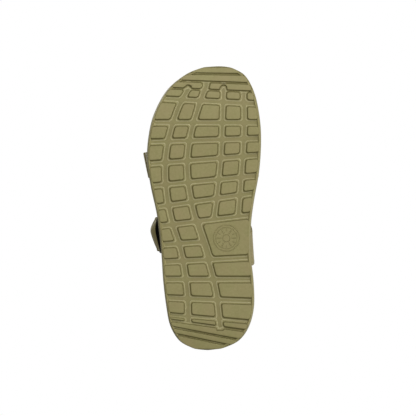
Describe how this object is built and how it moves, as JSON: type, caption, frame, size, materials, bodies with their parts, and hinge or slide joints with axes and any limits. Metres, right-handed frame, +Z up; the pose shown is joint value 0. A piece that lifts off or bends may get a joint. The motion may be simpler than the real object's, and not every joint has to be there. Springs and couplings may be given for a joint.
{
  "type": "strappy sport sandal",
  "caption": "Open sport sandal for the right foot: block-treaded foam sole, contoured footbed and padded forefoot, instep and heel straps that close with hook-and-loop tabs.",
  "frame": {"origin": "on the ground plane, on the face of the tread block under the middle of the sole", "axes": "+Y to the toes, +X to the outer side of the foot, +Z up"},
  "size_m": [0.117, 0.2842, 0.1021],
  "materials": {
    "outsole_rubber": "matte moulded rubber",
    "midsole_foam": "matte moulded foam",
    "footbed_foam": "soft matte foam with fine texture",
    "shank_nylon": "moulded nylon",
    "strap_fabric": "coated woven strap",
    "lining_mesh": "black padded mesh",
    "loop_fabric": "brushed loop pile",
    "hook_fabric": "hook tape",
    "ring_metal": "satin olive lacquer",
    "pull_rubber": "moulded rubber"
  },
  "bodies": {
    "sole_and_straps": {"outsole": "outsole_rubber", "midsole": "midsole_foam", "shank": "shank_nylon", "footbed": "footbed_foam", "forefoot_anchor": "strap_fabric", "forefoot_ring": "ring_metal", "forefoot_strap": "strap_fabric", "forefoot_lining": "lining_mesh", "forefoot_loop_patch": "loop_fabric", "instep_anchor": "strap_fabric", "instep_ring": "ring_metal", "instep_strap": "strap_fabric", "instep_lining": "lining_mesh", "instep_loop_patch": "loop_fabric", "heel_anchor_outer": "strap_fabric", "heel_anchor_inner": "strap_fabric", "heel_ring_outer": "ring_metal", "heel_ring_inner": "ring_metal"},
    "heel_sling": {"heel_strap": "strap_fabric", "heel_pad": "lining_mesh", "heel_loop_patch": "loop_fabric"},
    "forefoot_closure": {"forefoot_tab": "strap_fabric", "forefoot_hook_patch": "hook_fabric", "forefoot_pull": "pull_rubber"},
    "instep_closure": {"instep_tab": "strap_fabric", "instep_hook_patch": "hook_fabric", "instep_pull": "pull_rubber"},
    "heel_closure": {"heel_tab": "strap_fabric", "heel_hook_patch": "hook_fabric", "heel_pull": "pull_rubber"}
  },
  "joints": [
    {"name": "heel_sling_swing", "type": "hinge", "parent": "sole_and_straps", "child": "heel_sling", "pos_m": [0, -0.068, 0.062], "axis": [1, 0, 0], "range_deg": [-30, 20]},
    {"name": "forefoot_tab_peel", "type": "hinge", "parent": "sole_and_straps", "child": "forefoot_closure", "pos_m": [0.04526, 0.0447, 0.06343], "axis": [0.0974, 0.9951, 0.0158], "range_deg": [0, 110]},
    {"name": "instep_tab_peel", "type": "hinge", "parent": "sole_and_straps", "child": "instep_closure", "pos_m": [0.04158, -0.02253, 0.06976], "axis": [0.0012, 0.9745, -0.2244], "range_deg": [0, 110]},
    {"name": "heel_tab_peel", "type": "hinge", "parent": "heel_sling", "child": "heel_closure", "pos_m": [0.03748, -0.08057, 0.06535], "axis": [-0.0093, 0.2573, 0.9663], "range_deg": [0, 100]}
  ]
}
